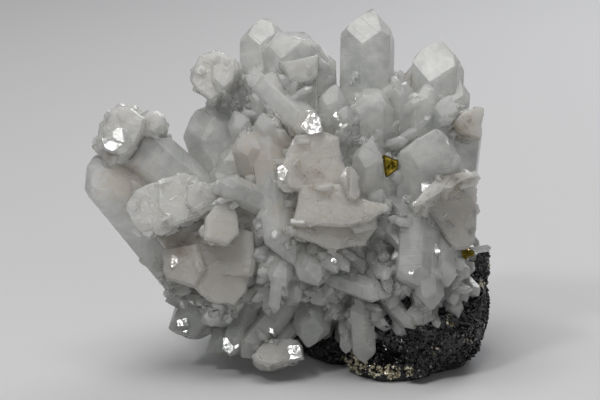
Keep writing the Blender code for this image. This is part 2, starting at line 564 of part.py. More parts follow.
def build():
    for item in list(bpy.data.objects):
        bpy.data.objects.remove(item)
    parts = bpy.data.collections.new("quartz_with_chalcopyrite_and_calcite")
    bpy.context.scene.collection.children.link(parts)
    calcite_nodes = sorted({row[0] for row in PLATES + RHOMBS})
    ores = [(name, seen(centre), size, turns) for name, centre, size, turns in CHALCOPYRITE]

    # Quartz gives way to the calcite and chalcopyrite that grew on it.
    first, *others = quartz_meshes(0.0)
    quartz = object_of("quartz_cluster", first, parts)
    combined(quartz, "UNION", others)
    settled = [mesh for node in calcite_nodes for mesh in calcite_meshes(node, GAP)]
    settled += [grow(disphenoid(spot, size, turns), GAP) for _, spot, size, turns in ores]
    combined(quartz, "DIFFERENCE", settled)
    dressed(largest_body(quartz), "quartz")

    # Each calcite piece gives way to those before it.
    for index, node in enumerate(calcite_nodes):
        first, *others = calcite_meshes(node, 0.0)
        piece = object_of(node, first, parts)
        if others:
            combined(piece, "UNION", others)
        earlier = [mesh for name in calcite_nodes[:index] for mesh in calcite_meshes(name, GAP)]
        earlier += [grow(disphenoid(spot, size, turns), GAP) for _, spot, size, turns in ores]
        combined(piece, "DIFFERENCE", earlier)
        dressed(largest_body(piece), "calcite")

    for name, spot, size, turns in ores:
        dressed(object_of(name, disphenoid(spot, size, turns), parts), "chalcopyrite")

    # The ore gives way to everything, and stands on its flat spot.
    first, *others = ore_meshes()
    matrix = object_of("matrix", first, parts)
    combined(matrix, "UNION", others)
    taken = quartz_meshes(GAP)
    taken += [mesh for node in calcite_nodes for mesh in calcite_meshes(node, GAP)]
    taken += [grow(disphenoid(spot, size, turns), GAP) for _, spot, size, turns in ores]
    below = bmesh.new()
    bmesh.ops.create_cube(below, size=1.0, matrix=Matrix.Translation((0.0, 0.0, -0.5)))
    taken.append(below)
    combined(matrix, "DIFFERENCE", taken)
    dressed(largest_body(matrix), "ore")


build()
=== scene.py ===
"""The looks of the quartz cluster: milky quartz, beige calcite, chalcopyrite and black ore."""

import json
import math
import random

import bmesh
import bpy
from mathutils import Matrix, Vector
from mathutils.bvhtree import BVHTree
from mathutils.geometry import convex_hull_2d

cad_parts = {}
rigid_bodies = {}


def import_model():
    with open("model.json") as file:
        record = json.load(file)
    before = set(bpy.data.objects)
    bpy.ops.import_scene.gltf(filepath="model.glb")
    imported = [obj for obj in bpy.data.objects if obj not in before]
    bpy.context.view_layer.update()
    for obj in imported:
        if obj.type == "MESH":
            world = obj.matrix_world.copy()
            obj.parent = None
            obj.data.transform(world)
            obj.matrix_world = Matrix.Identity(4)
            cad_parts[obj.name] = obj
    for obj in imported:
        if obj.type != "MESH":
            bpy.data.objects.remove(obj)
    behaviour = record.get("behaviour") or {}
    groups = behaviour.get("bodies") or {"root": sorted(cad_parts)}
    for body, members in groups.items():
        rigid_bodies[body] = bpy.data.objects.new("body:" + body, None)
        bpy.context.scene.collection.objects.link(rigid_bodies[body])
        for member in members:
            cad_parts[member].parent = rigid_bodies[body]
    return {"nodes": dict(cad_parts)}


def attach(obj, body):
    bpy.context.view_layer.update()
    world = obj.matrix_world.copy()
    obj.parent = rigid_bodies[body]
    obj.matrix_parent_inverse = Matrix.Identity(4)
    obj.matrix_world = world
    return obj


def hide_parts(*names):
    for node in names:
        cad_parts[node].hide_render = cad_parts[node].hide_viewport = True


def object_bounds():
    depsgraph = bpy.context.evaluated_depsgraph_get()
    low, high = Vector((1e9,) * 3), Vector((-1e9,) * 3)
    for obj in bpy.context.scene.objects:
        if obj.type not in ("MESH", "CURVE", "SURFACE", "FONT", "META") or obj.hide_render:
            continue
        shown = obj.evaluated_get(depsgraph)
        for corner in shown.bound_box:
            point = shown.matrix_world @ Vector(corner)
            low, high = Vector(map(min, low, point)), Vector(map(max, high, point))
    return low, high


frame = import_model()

CAD_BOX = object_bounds()
MM = 0.001

# How the specimen is seen, as in the CAD source, in millimetres.
TILT = math.radians(15.0)
EYE_DISTANCE = 900.0
AIM = (1.8, 47.7)
ORIGIN = (14.0, 5.0)
LENS_MM = 180.0
SENSOR_MM = 36.0
RISING = Vector((0.0, math.sin(TILT), math.cos(TILT)))
TOWARD = Vector((0.0, -math.cos(TILT), math.sin(TILT)))

# The small bright lamp that the glinting faces mirror, in metres.
LAMP = Vector((-0.385, -0.49, 0.745))
# Rhombohedral faces of quartz, measured from the prism's axis.
CAP_ANGLE = math.radians(51.8)

# Points nearer than this are one point, in metres, and again after small shapes are joined on.
WELD = 1e-6
JOINED_WELD = 2e-6
# Neighbours that turn by less than this are one flat face.
FLAT_ANGLE = math.radians(0.6)
# A face smaller than this, in square metres, is a small one.
SMALL_AREA = 1.0e-6
# Each face has its own number: small faces below this, large ones above it.
FACET_SPLIT = 0.3
# A thin growth layer: the lean of its sides and how far it reaches into the crystal.
LAYER_SLOPE = 0.4
LAYER_SUNK = 0.0006
# A glinting face: how uneven it is, the size of its cells, and how far it is let in and stands out.
GLINT_RELIEF = 0.000026
GLINT_CELL = 0.0007
GLINT_SUNK = 0.0016
GLINT_PROUD = 0.0003


def sight():
    """The eye and the point it looks at, in millimetres."""
    aim = Vector((AIM[0], 0.0, 0.0)) + RISING * AIM[1]
    return aim + TOWARD * EYE_DISTANCE, aim


def eye_place():
    """The camera's place in the frame, in metres."""
    return (sight()[0] - Vector((ORIGIN[0], ORIGIN[1], 0.0))) * MM


def seen(across, up, front):
    """The point of the frame that shows at a place across and up, front of the middle plane.

    It takes millimetres and gives metres.
    """
    eye, _ = sight()
    ray = Vector((across, 0.0, 0.0)) + RISING * up - eye
    point = eye + ray * ((-front - eye.y) / ray.y)
    return (point - Vector((ORIGIN[0], ORIGIN[1], 0.0))) * MM


# Camera, floor and lights.

def add_camera():
    """The camera at the photo's angle."""
    eye, aim = sight()
    data = bpy.data.cameras.new("camera")
    data.lens = LENS_MM
    data.sensor_width = SENSOR_MM
    data.clip_start = 0.02
    data.clip_end = 20.0
    camera = bpy.data.objects.new("camera", data)
    camera.location = eye_place()
    camera.rotation_euler = (aim - eye).to_track_quat("-Z", "Y").to_euler()
    bpy.context.scene.collection.objects.link(camera)
    bpy.context.scene.camera = camera


def add_light(name, place, aim, size, power, colour):
    """A soft rectangular light that faces aim."""
    data = bpy.data.lights.new(name, "AREA")
    data.shape = "RECTANGLE"
    data.size = size[0]
    data.size_y = size[1]
    data.energy = power
    data.color = colour
    light = bpy.data.objects.new(name, data)
    light.location = place
    light.rotation_euler = (Vector(aim) - Vector(place)).to_track_quat("-Z", "Y").to_euler()
    bpy.context.scene.collection.objects.link(light)


def add_stage():
    """A plain pale floor, an even studio light and the small lamp that the faces mirror."""
    mesh = bpy.data.meshes.new("floor")
    shape = bmesh.new()
    bmesh.ops.create_grid(shape, x_segments=1, y_segments=1, size=3.0)
    shape.to_mesh(mesh)
    shape.free()
    floor = bpy.data.objects.new("floor", mesh)
    # A hair below the flat spot that the specimen rests on.
    floor.location.z = -0.0002
    bpy.context.scene.collection.objects.link(floor)
    paint = bpy.data.materials.new("floor_paint")
    paint.use_nodes = True
    shader = paint.node_tree.nodes["Principled BSDF"]
    shader.inputs["Base Color"].default_value = (0.59, 0.59, 0.60, 1.0)
    shader.inputs["Roughness"].default_value = 0.8
    shader.inputs["Specular IOR Level"].default_value = 0.2
    mesh.materials.append(paint)
    world = bpy.data.worlds.new("studio")
    world.use_nodes = True
    world.node_tree.nodes["Background"].inputs["Color"].default_value = (0.80, 0.80, 0.80, 1.0)
    world.node_tree.nodes["Background"].inputs["Strength"].default_value = 0.20
    bpy.context.scene.world = world
    middle = (0.0, 0.0, 0.05)
    add_light("overhead", (-0.12, -0.10, 0.80), middle, (0.55, 0.45), 3.7, (1.0, 0.985, 0.96))
    add_light("front", (0.42, -0.95, 0.42), middle, (0.5, 0.5), 1.0, (1.0, 1.0, 1.0))
    add_light("behind", (0.35, 0.60, 0.45), middle, (0.4, 0.4), 2.4, (0.97, 0.98, 1.0))
    add_light("lamp", LAMP, middle, (0.13, 0.13), 1.7, (1.0, 1.0, 1.0))


# Material building.

class Graph:
    """Short ways to add and link shader nodes of one material."""

    def __init__(self, name):
        self.material = bpy.data.materials.new(name)
        self.material.use_nodes = True
        self.tree = self.material.node_tree
        self.shader = self.tree.nodes["Principled BSDF"]

    def add(self, kind, **settings):
        node = self.tree.nodes.new(kind)
        for key, value in settings.items():
            setattr(node, key, value)
        return node

    def link(self, source, target):
        self.tree.links.new(source, target)

    def set(self, **values):
        """Plain numbers on the shader's own sockets, with _ for a space."""
        for key, value in values.items():
            self.shader.inputs[key.replace("_", " ")].default_value = value

    def coordinates(self, scale=(1.0, 1.0, 1.0), source="Object"):
        """Places on the piece in metres, or on each face's own flat map in millimetres."""
        place = self.add("ShaderNodeTexCoord")
        mapping = self.add("ShaderNodeMapping")
        mapping.inputs["Scale"].default_value = scale
        self.link(place.outputs[source], mapping.inputs["Vector"])
        return mapping.outputs["Vector"]

    def facet(self):
        """Each face's own number, from 0 to 1."""
        return self.add("ShaderNodeAttribute", attribute_name="facet").outputs["Fac"]

    def large(self, facet, end=1.0):
        """0 on small faces and end on large ones."""
        return self.ramp(facet, FACET_SPLIT - 0.02, FACET_SPLIT + 0.02, 0.0, end)

    def height(self, low, high, start, end):
        """From start to end between two heights above the floor."""
        parts = self.add("ShaderNodeSeparateXYZ")
        self.link(self.coordinates(), parts.inputs["Vector"])
        return self.ramp(parts.outputs["Z"], low, high, start, end)

    def noise(self, vector, scale, detail=3.0, roughness=0.5, distortion=0.0):
        node = self.add("ShaderNodeTexNoise")
        node.inputs["Scale"].default_value = scale
        node.inputs["Detail"].default_value = detail
        node.inputs["Roughness"].default_value = roughness
        node.inputs["Distortion"].default_value = distortion
        self.link(vector, node.inputs["Vector"])
        return node.outputs["Fac"]

    def cells(self, vector, scale):
        """A colour for each small cell."""
        node = self.add("ShaderNodeTexVoronoi")
        node.inputs["Scale"].default_value = scale
        self.link(vector, node.inputs["Vector"])
        return node.outputs["Color"]

    def ramp(self, value, low, high, start=0.0, end=1.0):
        """From start to end as the value goes from low to high."""
        node = self.add("ShaderNodeMapRange")
        node.inputs["From Min"].default_value = low
        node.inputs["From Max"].default_value = high
        node.inputs["To Min"].default_value = start
        node.inputs["To Max"].default_value = end
        self.link(value, node.inputs["Value"])
        return node.outputs["Result"]

    def math(self, operation, first, second):
        node = self.add("ShaderNodeMath", operation=operation)
        for socket, value in zip(node.inputs, (first, second)):
            if isinstance(value, (int, float)):
                socket.default_value = value
            else:
                self.link(value, socket)
        return node.outputs["Value"]

    def mix(self, factor, first, second):
        """The first colour, and the second where the factor is 1."""
        node = self.add("ShaderNodeMix", data_type="RGBA")
        slots = [socket for socket in node.inputs if socket.enabled]
        for socket, value in zip(slots, (factor, first, second)):
            if isinstance(value, (int, float)):
                socket.default_value = value
            elif isinstance(value, tuple):
                socket.default_value = (*value, 1.0)
            else:
                self.link(value, socket)
        return [socket for socket in node.outputs if socket.enabled][0]

    def bump(self, height, distance, strength, normal):
        """The normal with a fine relief on it, of a height in metres."""
        node = self.add("ShaderNodeBump")
        node.inputs["Distance"].default_value = distance
        if isinstance(strength, float):
            node.inputs["Strength"].default_value = strength
        else:
            self.link(strength, node.inputs["Strength"])
        self.link(height, node.inputs["Height"])
        self.link(normal, node.inputs["Normal"])
        return node.outputs["Normal"]

    def gloss(self, facet, grain):
        """Roughness: small faces are smooth, and large ones satin with finely uneven patches."""
        large = self.large(facet, 0.17)
        own = self.ramp(facet, 0.0, 1.0, 0.07, 0.18)
        return self.math("ADD", self.math("ADD", large, own), self.math("MULTIPLY", grain, 0.08))

    def sparkle(self, vector, scale, tilt):
        """A normal that leans its own way in each small cell, like fine crystals."""
        cell = self.cells(vector, scale)
        lean = self.add("ShaderNodeVectorMath", operation="SUBTRACT")
        self.link(cell, lean.inputs[0])
        lean.inputs[1].default_value = (0.5, 0.5, 0.5)
        size = self.add("ShaderNodeVectorMath", operation="SCALE")
        self.link(lean.outputs["Vector"], size.inputs[0])
        size.inputs["Scale"].default_value = tilt
        total = self.add("ShaderNodeVectorMath", operation="ADD")
        self.link(size.outputs["Vector"], total.inputs[0])
        self.link(self.add("ShaderNodeNewGeometry").outputs["Normal"], total.inputs[1])
        unit = self.add("ShaderNodeVectorMath", operation="NORMALIZE")
        self.link(total.outputs["Vector"], unit.inputs[0])
        return unit.outputs["Vector"]

    def edges(self, radius):
        """A normal that is rounded over sharp edges."""
        node = self.add("ShaderNodeBevel", samples=4)
        node.inputs["Radius"].default_value = radius
        return node.outputs["Normal"]

    def near(self, spots):
        """1 at any of the spots, fading to 0 with a ragged rim.

        Each spot is across, up and front as for seen, and a radius in metres.
        """
        place = self.coordinates()
        wobble = self.ramp(self.noise(place, 260.0, 4.0, 0.65), 0.3, 0.7, -0.35, 0.35)
        total = None
        for across, up, front, radius in spots:
            away = self.add("ShaderNodeVectorMath", operation="DISTANCE")
            self.link(place, away.inputs[0])
            away.inputs[1].default_value = seen(across, up, front)
            fade = self.ramp(away.outputs["Value"], 0.0, radius, 1.0, 0.0)
            total = fade if total is None else self.math("MAXIMUM", total, fade)
        return self.ramp(self.math("ADD", total, wobble), 0.38, 0.80)


# Where the quartz is tinted and where it is speckled: across, up, front, radius in metres.
QUARTZ_TINTED = [
    (-50.0, 53.0, 12.0, 0.016), (-13.0, 60.0, 10.0, 0.016), (33.0, 83.0, -12.0, 0.008),
    (8.0, 46.0, 20.0, 0.026), (-26.0, 34.0, 14.0, 0.026), (1.0, 62.0, 10.0, 0.020),
]
QUARTZ_SPECKLED = [
    (-39.5, 55.0, 8.0, 0.002), (-51.5, 56.0, 9.0, 0.006), (45.0, 68.0, 0.0, 0.006),
]
# The same for the calcite.
PALE_STAINED = [(-55.0, 60.0, 10.0, 0.006)]
PALE_SPECKLED = [(-57.0, 61.0, 10.0, 0.005), (-29.0, 80.0, 0.0, 0.005)]
BEIGE_STAINED = [
    (6.0, 54.5, 21.0, 0.007), (-33.0, 34.0, 20.0, 0.010), (-36.0, 37.0, 18.0, 0.008),
    (47.0, 53.0, 18.0, 0.008), (49.0, 69.0, 4.0, 0.009),
]
BEIGE_SPECKLED = [
    (6.0, 55.0, 21.0, 0.008), (12.0, 49.5, 24.0, 0.004), (-33.0, 36.0, 20.0, 0.006),
    (44.0, 52.0, 20.0, 0.007), (51.0, 53.5, 16.0, 0.006), (49.0, 69.5, 4.0, 0.008),
]


def quartz_material():
    """Milky quartz with soft clouds, tinted and speckled in places, and growth lines."""
    g = Graph("milky_quartz")
    place = g.coordinates()
    facet = g.facet()
    veil = g.noise(place, 75.0, 4.0, 0.6, 0.5)
    wisps = g.noise(place, 230.0, 3.0, 0.6, 1.2)
    milk = g.math("ADD", g.math("MULTIPLY", veil, 0.65), g.math("MULTIPLY", wisps, 0.35))
    body = g.mix(g.ramp(milk, 0.38, 0.58), (0.60, 0.62, 0.61), (0.95, 0.95, 0.92))
    body = g.mix(g.ramp(facet, 0.0, 1.0, 0.0, 0.22), body, (0.82, 0.83, 0.82))
    body = g.mix(g.math("MULTIPLY", g.near(QUARTZ_TINTED), 0.75), body, (0.84, 0.76, 0.67))
    # Painted shade: the crystals are darker towards the bottom, where less light from above reaches
    # them.
    body = g.mix(g.height(0.004, 0.044, 0.72, 0.0), body, (0.36, 0.38, 0.345))
    dots = g.ramp(g.noise(place, 1500.0, 3.0, 0.7), 0.63, 0.68)
    body = g.mix(g.math("MULTIPLY", dots, g.near(QUARTZ_SPECKLED)), body, (0.26, 0.17, 0.115))
    g.link(body, g.shader.inputs["Base Color"])
    g.set(Transmission_Weight=0.52, IOR=1.54, Subsurface_Weight=1.0,
          Subsurface_Radius=(1.0, 1.0, 0.95), Subsurface_Scale=0.007, Coat_Weight=0.45,
          Coat_Roughness=0.06)
    # Growth lines run across each prism, with a few wider steps.
    lines = g.noise(g.coordinates((0.05, 1.0, 1.0), "UV"), 1.7, 5.0, 0.7)
    etch = g.noise(place, 900.0, 3.0, 0.6)
    waves = g.noise(g.coordinates(source="UV"), 0.24, 2.0, 0.5)
    g.link(g.gloss(facet, etch), g.shader.inputs["Roughness"])
    large = g.large(facet)
    normal = g.edges(0.00022)
    normal = g.bump(lines, 0.00036, g.math("MULTIPLY", large, 0.6), normal)
    normal = g.bump(waves, 0.0008, g.math("MULTIPLY", large, 0.5), normal)
    g.link(g.bump(etch, 0.00003, g.ramp(large, 0.0, 1.0, 0.2, 0.6), normal),
           g.shader.inputs["Normal"])
    return g.material


def calcite_material(name, light, deep, stained, speckled):
    """Cloudy calcite between two tones, stained and speckled in places, and cleavage steps."""
    g = Graph(name)
    place = g.coordinates()
    facet = g.facet()
    cloud = g.noise(place, 130.0, 5.0, 0.6, 0.6)
    grain = g.noise(place, 1300.0, 3.0, 0.6)
    body = g.mix(g.ramp(cloud, 0.36, 0.64), light, deep)
    body = g.mix(g.ramp(facet, 0.0, 1.0, 0.0, 0.25), body, (0.86, 0.845, 0.81))
    # Painted shade: the calcite is darker towards the bottom, where less light from above reaches
    # it.
    body = g.mix(g.height(0.006, 0.050, 0.40, 0.0), body, (0.36, 0.33, 0.29))
    body = g.mix(g.math("MULTIPLY", g.near(stained), 0.6), body, (0.36, 0.285, 0.20))
    dots = g.ramp(g.noise(place, 1150.0, 4.0, 0.75), 0.57, 0.62)
    body = g.mix(g.math("MULTIPLY", dots, g.near(speckled)), body, (0.16, 0.10, 0.055))
    g.link(body, g.shader.inputs["Base Color"])
    g.set(Transmission_Weight=0.4, IOR=1.6, Subsurface_Weight=1.0,
          Subsurface_Radius=(1.0, 0.95, 0.88), Subsurface_Scale=0.007, Coat_Weight=0.4,
          Coat_Roughness=0.08)
    g.link(g.gloss(facet, grain), g.shader.inputs["Roughness"])
    steps = g.noise(g.coordinates((0.10, 1.0, 1.0), "UV"), 1.3, 5.0, 0.7)
    waves = g.noise(g.coordinates(source="UV"), 0.35, 2.0, 0.5)
    large = g.large(facet)
    normal = g.edges(0.00020)
    normal = g.bump(steps, 0.00030, g.math("MULTIPLY", large, 0.7), normal)
    normal = g.bump(waves, 0.0012, g.math("MULTIPLY", large, 0.5), normal)
    g.link(g.bump(grain, 0.00003, g.ramp(large, 0.0, 1.0, 0.2, 0.6), normal),
           g.shader.inputs["Normal"])
    return g.material


def ore_material():
    """Black ore that sparkles."""
    g = Graph("black_ore")
    place = g.coordinates()
    facet = g.facet()
    tone = g.ramp(g.noise(place, 160.0, 4.0, 0.6), 0.4, 0.65)
    body = g.mix(tone, (0.002, 0.002, 0.003), (0.007, 0.008, 0.010))
    g.link(body, g.shader.inputs["Base Color"])
    g.set(IOR=1.6)
    g.link(g.ramp(facet, 0.0, 1.0, 0.08, 0.26), g.shader.inputs["Roughness"])
    g.link(g.sparkle(place, 1900.0, 0.9), g.shader.inputs["Normal"])
    return g.material


def brassy_material():
    """Tarnished brassy metal."""
    g = Graph("chalcopyrite")
    place = g.coordinates()
    tarnish = g.noise(place, 700.0, 4.0, 0.65)
    body = g.mix(g.ramp(tarnish, 0.35, 0.6), (0.25, 0.185, 0.028), (0.10, 0.075, 0.008))
    body = g.mix(g.ramp(g.noise(place, 1800.0, 3.0, 0.6), 0.56, 0.66), body, (0.03, 0.024, 0.008))
    g.link(body, g.shader.inputs["Base Color"])
    g.set(Metallic=1.0)
    g.link(g.ramp(tarnish, 0.3, 0.7, 0.20, 0.45), g.shader.inputs["Roughness"])
    normal = g.edges(0.0001)
    g.link(g.bump(g.cells(place, 1500.0), 0.0002, 0.7, normal), g.shader.inputs["Normal"])
    return g.material


def druse_material():
    """Pale and yellowish grains."""
    g = Graph("pale_druse")
    facet = g.facet()
    body = g.mix(g.ramp(facet, 0.0, FACET_SPLIT), (0.20, 0.16, 0.07), (0.80, 0.76, 0.60))
    body = g.mix(g.ramp(g.noise(g.coordinates(), 900.0), 0.52, 0.62), body, (0.06, 0.05, 0.03))
    g.link(body, g.shader.inputs["Base Color"])
    g.set(IOR=1.8, Metallic=0.25, Coat_Weight=0.3, Coat_Roughness=0.08)
    g.link(g.ramp(facet, 0.0, 1.0, 0.14, 0.40), g.shader.inputs["Roughness"])
    return g.material


# Shapes.

def cut(shape, point, normal):
    """Takes off what lies beyond a plane and closes the cut."""
    everything = shape.verts[:] + shape.edges[:] + shape.faces[:]
    done = bmesh.ops.bisect_plane(
        shape, geom=everything, dist=1e-7, plane_co=point, plane_no=normal, clear_outer=True)
    edges = [item for item in done["geom_cut"] if isinstance(item, bmesh.types.BMEdge)]
    if edges:
        bmesh.ops.contextual_create(shape, geom=edges)


def prism(root, tip, width, rng):
    """A small quartz prism with six faces at its tip, a little flattened."""
    depth_ratio = rng.uniform(0.75, 0.95)
    axis = (tip - root).normalized()
    length = (tip - root).length
    shape = bmesh.new()
    bmesh.ops.create_cone(
        shape, cap_ends=True, segments=6, radius1=width / 2, radius2=width / 2 * 0.94,
        depth=length * 0.999, matrix=Matrix.Translation((0.0, 0.0, length / 2)))
    for k in range(6):
        angle = math.radians(30 + 60 * k)
        normal = Vector((
            math.sin(CAP_ANGLE) * math.cos(angle), math.sin(CAP_ANGLE) * math.sin(angle),
            math.cos(CAP_ANGLE)))
        cut(shape, Vector((0.0, 0.0, length - rng.uniform(0.0, 0.22) * width)), normal)
    turn = axis.to_track_quat("Z", "Y").to_matrix().to_4x4()
    turn = turn @ Matrix.Rotation(rng.uniform(0.0, math.pi), 4, "Z")
    turn = turn @ Matrix.Diagonal((1.0, depth_ratio, 1.0, 1.0))
    bmesh.ops.transform(shape, verts=shape.verts, matrix=Matrix.Translation(root) @ turn)
    bmesh.ops.recalc_face_normals(shape, faces=shape.faces)
    return shape


def block(centre, sizes, turn, shear):
    """A sheared block, such as a calcite leaf or a broken grain of ore."""
    shape = bmesh.new()
    bmesh.ops.create_cube(shape, size=1.0)
    leaning = Matrix(((1.0, shear, 0.0), (shear, 1.0, 0.0), (shear, shear, 1.0))).to_4x4()
    matrix = Matrix.Translation(centre) @ turn @ Matrix.Diagonal((*sizes, 1.0)) @ leaning
    bmesh.ops.transform(shape, verts=shape.verts, matrix=matrix)
    return shape


def random_turn(rng):
    turn = Matrix.Identity(4)
    for axis in "XYZ":
        turn = turn @ Matrix.Rotation(rng.uniform(0.0, math.tau), 4, axis)
    return turn


def small_tilt(rng, spread):
    """A small random turn about X and Y."""
    turn = Matrix.Rotation(rng.gauss(0, spread), 4, "X")
    return turn @ Matrix.Rotation(rng.gauss(0, spread), 4, "Y")


def axes_to(normal, along):
    """A turn whose Z is the normal and whose X lies near along."""
    across = normal.cross(along).normalized()
    return Matrix((across.cross(normal), across, normal)).transposed().to_4x4()


def mesh_of(name, shape):
    """A mesh of a shape, which is used up."""
    mesh = bpy.data.meshes.new(name)
    shape.to_mesh(mesh)
    shape.free()
    return mesh


def piece_of(name, mesh, paint, slot, *nodes):
    """A piece of the specimen, in place of the CAD nodes named."""
    piece = bpy.data.objects.new(name, mesh)
    bpy.context.scene.collection.objects.link(piece)
    mesh.materials.clear()
    mesh.materials.append(paint)
    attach(piece, "root")
    if nodes:
        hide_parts(*nodes)


def boxed(shape):
    """Whether a shape stays inside the box of the CAD parts."""
    return all(
        CAD_BOX[0][k] < vert.co[k] < CAD_BOX[1][k] for vert in shape.verts for k in range(3))


def united(name, base, shapes):
    """One closed mesh of a CAD mesh and the small shapes grown on it."""
    shape = bmesh.new()
    shape.from_mesh(base)
    bmesh.ops.remove_doubles(shape, verts=shape.verts, dist=WELD)
    host = bpy.data.objects.new(name + "_host", mesh_of(name + "_host", shape))
    bpy.context.scene.collection.objects.link(host)
    tools = bpy.data.collections.new(name + "_tools")
    bpy.context.scene.collection.children.link(tools)
    for index, shape in enumerate(shape for shape in shapes if boxed(shape)):
        tool = bpy.data.objects.new(f"{name}_{index}", mesh_of(f"{name}_{index}", shape))
        tools.objects.link(tool)
    modifier = host.modifiers.new("joined", "BOOLEAN")
    modifier.operation = "UNION"
    modifier.solver = "MANIFOLD"
    modifier.operand_type = "COLLECTION"
    modifier.collection = tools
    depsgraph = bpy.context.evaluated_depsgraph_get()
    result = bpy.data.meshes.new_from_object(host.evaluated_get(depsgraph))
    for tool in list(tools.objects):
        data = tool.data
        bpy.data.objects.remove(tool)
        bpy.data.meshes.remove(data)
    bpy.data.collections.remove(tools)
    bpy.data.objects.remove(host)
    return result


def face_place(face):
    """Where a face is, as a key to sort by."""
    return [round(value, 6) for value in face.calc_center_median()]


def faceted(mesh, rng):
    """Merges coplanar triangles, then gives each face its own number and its own flat map.

    Small faces have a number below FACET_SPLIT and large ones a number above it.
    The map is in millimetres, with its second axis along the face's longest direction, so that
    growth lines run across each prism.
    """
    shape = bmesh.new()
    shape.from_mesh(mesh)
    bmesh.ops.remove_doubles(shape, verts=shape.verts, dist=JOINED_WELD)
    bmesh.ops.dissolve_limit(
        shape, angle_limit=FLAT_ANGLE, verts=shape.verts, edges=shape.edges)
    facet = shape.faces.layers.float.new("facet")
    flat = shape.loops.layers.uv.new("flat_mm")
    for face in sorted(shape.faces, key=face_place):
        face.smooth = False
        small = face.calc_area() < SMALL_AREA
        face[facet] = rng.uniform(0.0, FACET_SPLIT) if small else rng.uniform(FACET_SPLIT, 1.0)
        longest = max(face.edges, key=lambda edge: edge.calc_length())
        along = (longest.verts[1].co - longest.verts[0].co).normalized()
        across = along.cross(face.normal)
        slide = (rng.uniform(0, 50), rng.uniform(0, 50))
        for loop in face.loops:
            spot = loop.vert.co / MM
            loop[flat].uv = (spot.dot(across) + slide[0], spot.dot(along) + slide[1])
    bmesh.ops.triangulate(shape, faces=shape.faces)
    shape.to_mesh(mesh)
    shape.free()


def whole_tree():
    """All the CAD parts together, to tell how open a place is."""
    shape = bmesh.new()
    for node in frame["nodes"].values():
        shape.from_mesh(node.data)
    return BVHTree.FromBMesh(shape)


WHOLE = whole_tree()


class Skin:
    """The outside of a CAD mesh: its points, its flat faces and what a ray meets."""

    def __init__(self, mesh):
        self.shape = bmesh.new()
        self.shape.from_mesh(mesh)
        bmesh.ops.remove_doubles(self.shape, verts=self.shape.verts, dist=WELD)
        self.tree = BVHTree.FromBMesh(self.shape)

    def struck(self, across, up):
        """The place and outward direction of the skin that shows at a place of the front view."""
        eye = eye_place()
        ray = (seen(across, up, 0.0) - eye).normalized()
        place, normal, _, _ = self.tree.ray_cast(eye, ray)
        return place, normal

    def openness(self, place, normal, rng, reach=0.012):
        """The share of directions out of a place that meet nothing within reach."""
        rays = 8
        start = place + normal * 0.0002
        free = 0
        for _ in range(rays):
            ray = Vector([rng.gauss(0, 1) for _ in range(3)]).normalized()
            if ray.dot(normal) < 0:
                ray.negate()
            free += WHOLE.ray_cast(start, ray, reach)[0] is None
        return free / rays

    def spots(self, rng, count):
        """Points spread by area: place, outward direction, and how open the place is."""
        faces = [face for face in self.shape.faces if len(face.verts) == 3]
        areas = [face.calc_area() for face in faces]
        for face in rng.choices(faces, weights=areas, k=count):
            a, b = sorted((rng.random(), rng.random()))
            first, second, third = [vert.co for vert in face.verts]
            place = first * a + second * (b - a) + third * (1 - b)
            normal = face.normal.copy()
            yield place, normal, self.openness(place, normal, rng)

    def flats(self, least_area):
        """Every large flat face, as its Flat."""
        flat_shape = self.shape.copy()
        bmesh.ops.dissolve_limit(
            flat_shape, angle_limit=FLAT_ANGLE, verts=flat_shape.verts, edges=flat_shape.edges)
        found = [Flat(face) for face in flat_shape.faces if face.calc_area() > least_area]
        flat_shape.free()
        return found


def outward(first, second, middle):
    """The direction out of a hull across its side from first to second."""
    side = second - first
    out = Vector((side.y, -side.x)).normalized()
    if out.dot(first - middle) < 0:
        out.negate()
    return out


